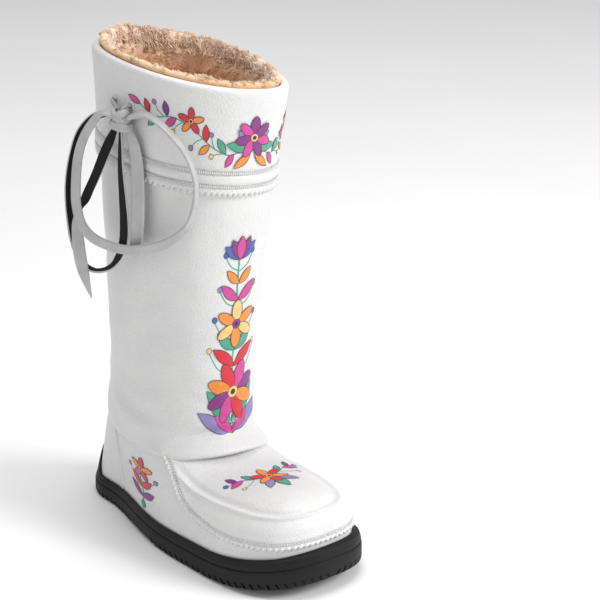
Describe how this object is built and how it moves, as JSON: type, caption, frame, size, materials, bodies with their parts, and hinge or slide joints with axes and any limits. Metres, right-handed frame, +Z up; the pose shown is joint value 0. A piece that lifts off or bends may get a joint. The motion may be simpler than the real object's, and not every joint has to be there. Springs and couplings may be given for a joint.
{
  "type": "mukluk boot",
  "caption": "Tall white leather winter boot with a folded cuff, shearling lining, a knotted side tie and a black rubber cup sole, for the right foot.",
  "frame": {"origin": "middle of the boot's footprint box on the floor, measured without the loose tie", "axes": "+Z up, toe towards -Y, inner (medial) side towards +X"},
  "size_m": [0.1535, 0.28, 0.3968],
  "materials": {
    "rubber": "satin",
    "leather": "satin",
    "felt": "matte",
    "fleece": "matte",
    "strap": "satin",
    "metal": "satin"
  },
  "bodies": {
    "root": {"outsole": "rubber", "insole": "felt", "upper": "leather", "vamp": "leather", "heel_seam_lateral": "leather", "heel_seam_medial": "leather", "shaft": "leather", "cuff": "leather", "lining": "fleece", "eyelet_back": "metal", "eyelet_front": "metal", "tie_knot": "strap", "tie_loop_front": "strap", "tie_loop_back": "strap", "tie_tail_long": "strap", "tie_tail_short": "strap", "tie_lead_back": "strap", "tie_lead_front": "strap"}
  },
  "joints": []
}
